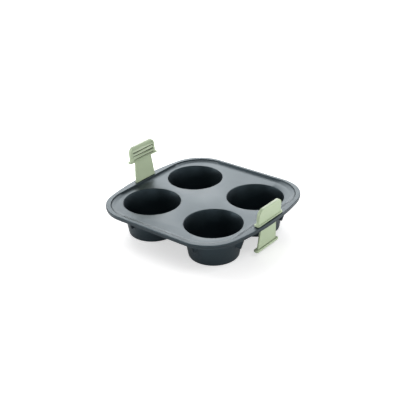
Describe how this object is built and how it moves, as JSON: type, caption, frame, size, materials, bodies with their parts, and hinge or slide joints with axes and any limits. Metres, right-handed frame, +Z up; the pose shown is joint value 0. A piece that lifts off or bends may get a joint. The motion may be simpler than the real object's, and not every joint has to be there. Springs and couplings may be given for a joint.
{
  "type": "muffin mould",
  "caption": "Square one-piece muffin mould with tapered round cups hanging from a rimmed deck, and lift handles that slide up through slots in the rim.",
  "frame": {"origin": "on the table under the middle of the tray", "axes": "+Z up; X runs from the left handle to the right handle; Y runs along the handles, away from the front edge"},
  "size_m": [0.205, 0.2, 0.0909],
  "materials": {
    "mould_silicone": "smooth satin dark grey silicone",
    "handle_green": "smooth satin sage green"
  },
  "bodies": {
    "tray": {"mould": "mould_silicone"},
    "left_handle": {"handle_left": "handle_green"},
    "right_handle": {"handle_right": "handle_green"}
  },
  "joints": [
    {"name": "left_handle_slide", "type": "slide", "parent": "tray", "child": "left_handle", "axis": [-0.0837, 0, 0.9965], "range_m": [-0.02746, 0.0003]},
    {"name": "right_handle_slide", "type": "slide", "parent": "tray", "child": "right_handle", "axis": [0.0837, 0, 0.9965], "range_m": [0, 0.02776]}
  ]
}
